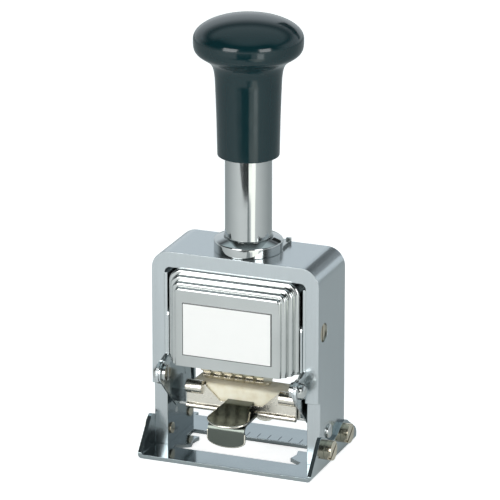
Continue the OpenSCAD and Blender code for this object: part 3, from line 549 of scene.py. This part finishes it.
in_slot = (wide > SLEEVE_R) & (mid_z >= FRAME_TOP) & (mid_z < SLOT_TOP) & at_back(spin, slot_a)
piece("turned_collar", *wall(turned(edge, spin), turned(hole, spin), ~in_slot, True), "frame",
      "guide_bush", smooth_chrome, ["guide_bush"], 30)

# %% [markdown]
# ## The stepped front cover
# The cover is drawn from one sheet in four steps, open at the bottom and at the back. Every step is the
# same arch, upright sides with two round corners, only smaller and further forward. So the surface is
# one path, forward distance against inset, with its corners rounded, and each point of that path draws
# a whole arch. The last rows run in to the middle line and make the face.

# %% Cover
CASE_HALF, COVER_TOP, COVER_LOW, COVER_R, LEAST_R = 24.2, 68.6, 35.4, 4.6, 0.6
STEPS_Y, STEP_IN, SHEET = (-14.4, -16.8, -19.1, -20.5), 1.5, 1.0
CUT_OUTER, CUT_INNER, CUT_INSIDE, FACE_RUN = 1.05, 0.12, 0.3, 1.6
CASE_Y, INSIDE_Y, INSIDE_GAP, SKIRT_Y = -13.15, -13.4, 1.2, -11.15
SKIRT, SKIRT_INSIDE = (23.0, 65.6, 2.0), (22.0, 64.6, 1.2)
CORNER_POINTS, SIDE_POINTS = 15, 4


def arches(y, half, top, radius):
    """One arch of points a row: up the left side, round a corner, across, round the other, and down.
    y, half width, top and corner radius are arrays with one value for each row."""
    y, half, top, radius = (np.asarray(v, float)[:, None] for v in (y, half, top, radius))
    a = np.radians(np.linspace(180, 90, CORNER_POINTS))[None]
    side = np.linspace(0, 1, SIDE_POINTS)[None, :-1]
    x = np.concatenate([0 * side - half, (radius - half) + radius * np.cos(a)], 1)
    z = np.concatenate([COVER_LOW + side * (top - radius - COVER_LOW),
                        (top - radius) + radius * np.sin(a)], 1)
    x, z = np.concatenate([x, -x[:, ::-1]], 1), np.concatenate([z, z[:, ::-1]], 1)
    return np.stack([x, y + 0 * x, z], -1)


def stepped(back, inset, ys, cuts):
    """A staircase: y and inset along a path that goes forward to each y and then steps in."""
    path, cut = [(back, inset)], [0]
    for k, y in enumerate(ys):
        path += [(y, inset + k * STEP_IN), (y, inset + (k + 1) * STEP_IN)]
        cut += cuts
    return rounded(path, cut[:-1] + [0])


def cover_rows(path, back, skirt):
    """The arches of a path, behind them two of the skirt, and last a row on the lower half of the
    middle line, which closes the front. Half width and top are less by the inset, and the corner's
    radius by a millimetre a step, but not below the least."""
    y, inset = path.T
    arch = CASE_HALF - inset, COVER_TOP - inset, np.maximum(COVER_R - inset / STEP_IN, LEAST_R)
    rows = arches(np.concatenate([[SKIRT_Y, back], y]),
                  *(np.concatenate([[s] * 2, v]) for s, v in zip(skirt, arch)))
    last = rows[-1:].copy()
    last[..., 0] = 0
    last[..., 2] = (last[..., 2] + COVER_LOW) / 2
    return np.concatenate([rows, last])


def as_long(rows, count):
    """The rows with the last one repeated until there are as many as count."""
    return np.concatenate([rows, np.repeat(rows[-1:], count - len(rows), 0)])


outside = stepped(CASE_Y, 0, STEPS_Y, [CUT_OUTER, CUT_INNER])
outside = np.concatenate([outside, [(STEPS_Y[-1], (len(STEPS_Y) - 1) * STEP_IN + FACE_RUN)]])
inside = stepped(INSIDE_Y, SHEET + INSIDE_GAP + STEP_IN, [v + SHEET for v in STEPS_Y[1:]], [CUT_INSIDE] * 2)
outside = cover_rows(outside, CASE_Y, SKIRT)
inside = cover_rows(inside, INSIDE_Y, SKIRT_INSIDE)
count = max(len(outside), len(inside))
piece("drawn_cover", *wall(as_long(outside, count), as_long(inside, count), seam=True), "press_head",
      "front_cover", cover_chrome, ["front_cover"], 35)

# %% [markdown]
# ## The finger tabs
# Each tab is a strip of polished spring steel. Its colour is painted dark, a painted reflection of the dark
# that its dished face mirrors. Its upper face is a path seen from the side, and its width comes from how
# far along the path a point lies. A flat sheet bent by a modifier could do it too, but when the under face
# is set off along the path's normal, the thickness stays true in the bend.
# A bead along the rim in a bright cream colour is a painted highlight on the cut edge.

# %% Tab tools
TAB_T, TAB_X, ACROSS = 0.9, -0.4, 33
BEAD_R, BEAD_POINTS, BEAD_GAP = 0.43, 12, 0.05


def leaf(name, top, plan):
    """top is the path (y, z) of the upper face. The under face is the thickness along the path's
    normal below it. The half width at each point is plan(path), drawn in to nothing at the tip.
    Returns the rows of the middle surface."""
    run = directions(top)
    under = top + TAB_T * np.stack([-run[:, 1], run[:, 0]], -1) * np.sign(-run[:, :1] + 1e-9)
    wide = plan(top)[:, None]
    u = np.sin(np.linspace(-1, 1, ACROSS) * math.pi / 2)[None]

    def sheet_of(p):
        return np.stack([TAB_X + wide * u, p[:, :1] + 0 * u, p[:, 1:] + 0 * u], -1)

    tab = name.replace("_leaf", "_tab")
    piece(name, *wall(sheet_of(top), sheet_of(under)), "pad_drawer", tab, tab_painted_dark, [tab], 50)
    return sheet_of((top + under) / 2)


def rim(name, leaf_rows, start, slot):
    """A round bead along the outline, from the row at start down one side, round the tip and back up.
    At each point it is a circle in the plane across the path: one axis is the path's direction crossed
    with a line halfway between y and z, and the other is that axis crossed with the direction.
    Points of the outline that lie closer than the gap to the one before are left out."""
    p = np.concatenate([leaf_rows[start:, 0], leaf_rows[start:-1, -1][::-1]])
    p = p[np.append(True, np.linalg.norm(np.diff(p, axis=0), axis=1) > BEAD_GAP)]
    run = directions(p)
    side = np.cross(run, [0.0, 1.0, 1.0])
    side /= np.linalg.norm(side, axis=1, keepdims=True)
    up = np.cross(side, run)
    a = np.linspace(0, 2 * math.pi, BEAD_POINTS + 1)[:-1][None, :, None]
    loops = p[:, None] + BEAD_R * (np.cos(a) * side[:, None] + np.sin(a) * up[:, None])
    piece(name, *plump(loops, np.repeat(p[:, None], a.size, 1)), "pad_drawer", slot, rim_highlight)


def arc_end(y, start, tip, half):
    """Half an ellipse from the full half width at start to nothing at the tip."""
    t = np.clip((start - y) / (start - tip), 0, 1)
    return half * np.sqrt(np.maximum(1 - t * t, 0))


# %% [markdown]
# The upper tab is a narrow strap that slopes down to the front and widens to a round end. Its path is
# three straight lines, softened so that it bends like sprung steel. The width is the strap's or the
# round end's, whichever is less.

# %% Upper tab
STRAP_HALF, FLARE_BY, FLARE_Y, FLARE_LONG = 4.8, 2.5, -9.7, 8.5
UPPER_ROUND_Y, UPPER_TIP_Y, BEAD_FROM_Y = -18.2, -23.2, -13
SLOPE_STEP, SLOPE_BLUR = 0.25, 1.0
UPPER_PATH = [(-6.2, 19.8), (-9.5, 19.8), (-20.5, 16.9), (UPPER_TIP_Y, 16.4)]


def upper_plan(p):
    """The strap's half width, widening in a straight line from the flare's start, or the round end's
    half width where that is less."""
    strap = STRAP_HALF + FLARE_BY * np.clip((FLARE_Y - p[:, 0]) / FLARE_LONG, 0, 1)
    return np.minimum(strap, arc_end(p[:, 0], UPPER_ROUND_Y, UPPER_TIP_Y, STRAP_HALF + FLARE_BY))


slope = soften(UPPER_PATH, SLOPE_STEP, SLOPE_BLUR)
upper = leaf("upper_finger_leaf", slope, upper_plan)
rim("upper_tab_rim", upper, int(np.argmax(slope[:, 0] < BEAD_FROM_Y)), "upper_finger_tab")

# %% [markdown]
# The lower tab runs level to the front, bends down through a quarter circle and ends in half an ellipse
# that faces the camera. Its rows crowd together towards the tip, where the outline turns most.

# %% Lower tab
LOWER_FROM_Y, LOWER_Z, BEND_Y, BEND_Z, BEND_R, LOWER_TIP_Z = -8, 16.2, -17.6, 13.2, 3, 7.6
LOWER_ROUND_Z, LOWER_HALF, STRAIGHT_ROWS, BEND_ROWS, FALL_ROWS = 10.2, 6.8, 19, 25, 39
a = np.radians(np.linspace(0, 90, BEND_ROWS))
fall = np.sin(np.linspace(0, math.pi / 2, FALL_ROWS + 1))[1:]
flat = np.linspace(LOWER_FROM_Y, BEND_Y, STRAIGHT_ROWS + 1)[:-1]
low_path = np.concatenate([
    np.stack([flat, np.full(STRAIGHT_ROWS, LOWER_Z)], -1),
    np.stack([BEND_Y - BEND_R * np.sin(a), BEND_Z + BEND_R * np.cos(a)], -1),
    np.stack([np.full(FALL_ROWS, BEND_Y - BEND_R), BEND_Z + fall * (LOWER_TIP_Z - BEND_Z)], -1)])
lower = leaf("lower_finger_leaf", low_path,
             lambda p: arc_end(p[:, 1], LOWER_ROUND_Z, LOWER_TIP_Z, LOWER_HALF))
rim("lower_tab_rim", lower, STRAIGHT_ROWS + BEND_ROWS, "lower_finger_tab")

# %% [markdown]
# ## The ink pad
# The pad is a block of pressed wool felt in its sheet-metal drawer. Felt has no crisp edge: its section
# is a rounded rectangle that swells a little in the middle of its length. Two round bosses of the drawer
# press into its front corners, so points there are pushed out of the boss's circle. A cloth simulation
# would blow it up like a cushion, which pressed felt isn't, so the surface is worked out directly.

# %% Felt pad
PAD_X, PAD_Y, PAD_Z = 19.55, (-6.05, 5.05), (16.95, 24.35)
PAD_CUTS, CUT_POINTS, AROUND, ALONG = (0.5, 1.6, 1.0, 0.5), 9, 140, 161
END_FROM, END_IN, SWELL, FUZZ_Y, FUZZ_Z = 0.965, 0.2, 0.015, 0.03, 0.04
BOSS, BOSS_R, BOSS_X, BOSS_EASE = (-6.5, 22.9), 2.75, 14.2, 0.5
mid_y, mid_z = sum(PAD_Y) / 2, sum(PAD_Z) / 2
ring = rounded([(PAD_Y[0], PAD_Z[0]), (PAD_Y[0], PAD_Z[1]), (PAD_Y[1], PAD_Z[1]), (PAD_Y[1], PAD_Z[0])],
               PAD_CUTS, CUT_POINTS)
ring = np.concatenate([ring, ring[:1]])
at = lengths(ring)
steps = np.linspace(0, at[-1], AROUND + 1)[:-1]
section = np.stack([np.interp(steps, at, ring[:, k]) for k in range(2)], -1)
along = np.linspace(-1, 1, ALONG)[:, None]
# The section is full in the middle and less by a cosine towards the ends, where it also draws in.
reach = np.sqrt(1 - np.clip((abs(along) - END_FROM) / (1 - END_FROM), 0, 1) ** 2 * END_IN)
size = (1 - SWELL + SWELL * np.cos(along * math.pi / 2)) * reach
x = PAD_X * along + 0 * section[None, :, 0]
y = mid_y + (section[None, :, 0] - mid_y) * size
z = mid_z + (section[None, :, 1] - mid_z) * size
# Two products of sine waves that cross each other make the faces a few hundredths uneven.
fuzz = (np.sin(1.9 * x + 2.3 * y) * np.sin(2.7 * z - 1.3 * x)
        + 0.6 * np.sin(4.1 * x - 3.7 * z) * np.sin(3.3 * y))
y, z = y - FUZZ_Y * fuzz * np.sign(y - mid_y), z - FUZZ_Z * abs(fuzz) * np.sign(z - mid_z)
# Inside a boss's circle a point moves away from its middle, out to the circle.
away = np.hypot(y - BOSS[0], z - BOSS[1])
push = (np.clip((abs(x) - BOSS_X + BOSS_EASE) / BOSS_EASE, 0, 1)
        * np.clip(BOSS_R - away, 0, None) / np.maximum(away, 1e-6))
y, z = y + push * (y - BOSS[0]), z + push * (z - BOSS[1])
skin = np.stack([x, np.clip(y, *PAD_Y), np.clip(z, *PAD_Z)], -1)
core = np.stack([x, mid_y + 0 * y, mid_z + 0 * z], -1)
pad = piece("felt_pad", *plump(skin, core), "pad_drawer", "ink_pad", felt, ["ink_pad"], 60)

# %% [markdown]
# ## Stage
# A pale floor takes the shadow. The camera sees it lifted towards white, and so do reflections, but only
# in front of the machine: the dark cards lie there, and the chrome needs something bright beside them.

# %% Floor
FLOOR_LIFT, FLOOR_HALF, FRONT_TO_RIGHT = 0.70, 2, 0.2
FADE_FROM, FADE_TO, SHINE = -0.6, 0.9, 0.45


def sheet(name, corners, material, seen=False):
    """A flat piece of the stage. A card is seen in reflections only, and casts no shadow."""
    me = bpy.data.meshes.new(name)
    me.from_pydata([tuple(c) for c in corners], [], [tuple(range(len(corners)))])
    me.materials.append(material)
    o = bpy.data.objects.new(name, me)
    bpy.context.scene.collection.objects.link(o)
    o.visible_camera = o.visible_diffuse = o.visible_shadow = seen


floor_m = shader("floor", (0.80, 0.80, 0.79), 0.0, 0.9)
ray = add(floor_m, "ShaderNodeLightPath").outputs
shiny = calc(floor_m, "MAXIMUM", ray["Is Glossy Ray"], ray["Is Transmission Ray"])
x, y, z = xyz(floor_m)
length = calc(floor_m, "SQRT", calc(floor_m, "ADD", calc(floor_m, "MULTIPLY", x, x),
                                    calc(floor_m, "MULTIPLY", y, y)))
# About the cosine of the angle from a line that runs forward and a little to the right.
front = calc(floor_m, "DIVIDE", calc(floor_m, "SUBTRACT", calc(floor_m, "MULTIPLY", x, FRONT_TO_RIGHT), y),
             length)
fade = spread(floor_m, front, FADE_FROM, FADE_TO, 0.0, SHINE * FLOOR_LIFT)
glow = calc(floor_m, "ADD", calc(floor_m, "MULTIPLY", ray["Is Camera Ray"], FLOOR_LIFT),
            calc(floor_m, "MULTIPLY", shiny, fade))
main(floor_m).inputs["Emission Color"].default_value = (1, 1, 1, 1)
link(floor_m, glow, main(floor_m).inputs["Emission Strength"])
sheet("floor", [(sx * FLOOR_HALF, sy * FLOOR_HALF, 0) for sx, sy in ((-1, -1), (1, -1), (1, 1), (-1, 1))],
      floor_m, seen=True)
print("floor nodes", len(floor_m.node_tree.nodes))

# %% [markdown]
# Upright chrome mirrors the floor in front of it, a cylinder's left side what lies left and its right
# side what lies right, and higher points mirror what lies further out. So cards on the floor draw the
# stripes of the photo. The tube mirrors the ring up to KNOB_ARC and the knob's grip what is beyond: the
# near dark card is the tube's wedge, the bright one the stripe beside it, the far dark card the grip's
# middle, and the glowing one its highlight. The side card stands behind, on the right, and darkens the
# round corner of the frame.

# %% Cards
CARD_Z, NEAR, WEDGE_TIP, KNOB_ARC, GLOW_FROM, FAR = 0.5 * MM, 0.2, 0.295, 0.352, 0.353, 0.62


def flat_card(name, polar, material):
    """A card that lies on the floor in front, its corners given as (azimuth in degrees, distance)."""
    a, r = np.radians([p[0] for p in polar]), np.array([p[1] for p in polar])
    sheet(name, np.stack([r * np.sin(a), -r * np.cos(a), 0 * a + CARD_Z], -1), material)


def lit(name, colour, light, strength):
    """The material of a card that shines in a colour of light."""
    m = shader(name, colour, 0.0, 0.9, Emission_Strength=strength)
    main(m).inputs["Emission Color"].default_value = (*light, 1)
    return m


card_black = shader("card_black", (0.02, 0.025, 0.025), 0.0, 0.9)
card_grey = shader("card_grey", (0.45, 0.47, 0.47), 0.0, 0.9)
card_white = lit("card_white", (0.9, 0.9, 0.82), (1.0, 0.99, 0.93), 1.25)
card_glow = lit("card_glow", (0.9, 0.9, 0.85), (0.94, 1.0, 1.0), 3.2)
flat_card("dark_card_near", [(17, WEDGE_TIP), (22, WEDGE_TIP)]
          + [(azimuth, KNOB_ARC) for azimuth in (22, 10, -2, -13, -24)], card_black)
flat_card("dark_card_far", [(azimuth, KNOB_ARC) for azimuth in (-3, 12, 28)] + [(28, FAR), (-3, FAR)],
          card_black)
flat_card("grey_card", [(14, NEAR), (28, NEAR), (26, WEDGE_TIP), (17, WEDGE_TIP)], card_grey)
flat_card("bright_card", [(34, NEAR), (50, NEAR), (54, 0.29), (58, KNOB_ARC), (40, KNOB_ARC),
                          (23, KNOB_ARC), (23, 0.305), (34, 0.29)], card_white)
flat_card("glow_card", [(40, GLOW_FROM), (53, GLOW_FROM), (53, 0.6), (40, 0.6)], card_glow)
sheet("side_card", [(-0.09, 0.6, 0.33), (0.15, 0.6, 0.33), (0.25, 0.6, 0.23), (0.36, 0.6, 0.25),
                    (0.18, 0.6, 0.46), (-0.09, 0.6, 0.46)], card_black)

# %% [markdown]
# ## Light
# The surround is white to the camera. To everything else it is a room. Behind the machine is a pale
# backdrop with a dark gap above it, around the camera it is dark, which gives the chrome its dark
# lines, and overhead there is a pale ceiling. A photographed room could be used, but here each of its
# halves is a ramp over the height of the direction, 0.5 at the horizon and 1 straight up, so that a
# stripe can be moved by one number. The halves fade into each other over a narrow band of y.

# %% Surround
SURROUND, FADE_Y = 2.0, (-0.15, 0.25)
world = bpy.data.worlds.new("surround")
bpy.context.scene.world = world
world.use_nodes = True
direction = add(world, "ShaderNodeSeparateXYZ")
link(world, add(world, "ShaderNodeTexCoord").outputs["Generated"], direction.inputs["Vector"])
height = calc(world, "MULTIPLY_ADD", direction.outputs["Z"], 0.5, 0.5)
backdrop = ramp(world, height, [(0.5, (0.40, 0.43, 0.45)), (0.70, (0.43, 0.47, 0.50)),
                                (0.80, (0.05, 0.055, 0.06)), (0.86, (0.30, 0.36, 0.38)),
                                (1.0, (0.34, 0.4, 0.42))])
dark_room = ramp(world, height, [(0.5, (0.28, 0.29, 0.29)), (0.57, (0.12, 0.13, 0.13)),
                                 (0.66, (0.03, 0.035, 0.035)), (0.9, (0.03, 0.035, 0.035)),
                                 (0.99, (0.34, 0.4, 0.42))])
room = mixed(world, spread(world, direction.outputs["Y"], *FADE_Y, 0.0, 1.0), dark_room, backdrop)
by_camera = add(world, "ShaderNodeLightPath").outputs["Is Camera Ray"]
background = world.node_tree.nodes["Background"].inputs
background["Strength"].default_value = SURROUND
link(world, mixed(world, by_camera, room, (1 / SURROUND,) * 3), background["Color"])
print("surround nodes", len(world.node_tree.nodes))

# %% [markdown]
# Two soft boxes stand low to the left and the right of the camera, as in a product photographer's tent.

# %% Soft boxes
BOX_AIM = Vector((0, 0, 0.08))


def area(name, azimuth, elevation, distance, size, power):
    """A soft box seen from the object at an azimuth from the front and an elevation, in degrees."""
    a, e = math.radians(azimuth), math.radians(elevation)
    d = bpy.data.lights.new(name, "AREA")
    d.shape, d.size, d.size_y, d.energy = "RECTANGLE", size[0], size[1], power
    o = bpy.data.objects.new(name, d)
    out = Vector((math.sin(a) * math.cos(e), -math.cos(a) * math.cos(e), math.sin(e)))
    o.location = BOX_AIM + out * distance
    o.rotation_euler = out.to_track_quat("Z", "Y").to_euler()
    bpy.context.scene.collection.objects.link(o)


area("left_box", -17, 15, 1.2, (0.62, 0.66), 8.0)
area("right_box", 56, 15, 1.2, (0.5, 0.66), 6.0)
print("lights", len(bpy.data.lights))

# %% [markdown]
# ## Camera
# Angle, distance and focal length come from a fit of the part's measured points to the photo. The focal
# length is known in the frame's pixels, so it is turned into millimetres on the sensor.

# %% Camera
AZ, EL, DIST = math.radians(21.47), math.radians(18.89), 1.507
FOCAL_PX, FRAME_PX, SENSOR = 4336.9, 500, 36
back = Vector((math.sin(AZ) * math.cos(EL), -math.cos(AZ) * math.cos(EL), math.sin(EL)))
aim = Vector((0.00014, 0.00106, 0.07322))
cam_data = bpy.data.cameras.new("camera")
cam = bpy.data.objects.new("camera", cam_data)
cam.location = aim + back * DIST
cam.rotation_euler = (-back).to_track_quat("-Z", "Y").to_euler()
cam_data.sensor_width = SENSOR
cam_data.lens = FOCAL_PX / FRAME_PX * SENSOR
bpy.context.scene.collection.objects.link(cam)
bpy.context.scene.camera = cam
bpy.context.scene.view_settings.view_transform = "Standard"
print("lens in mm", round(cam_data.lens, 1))
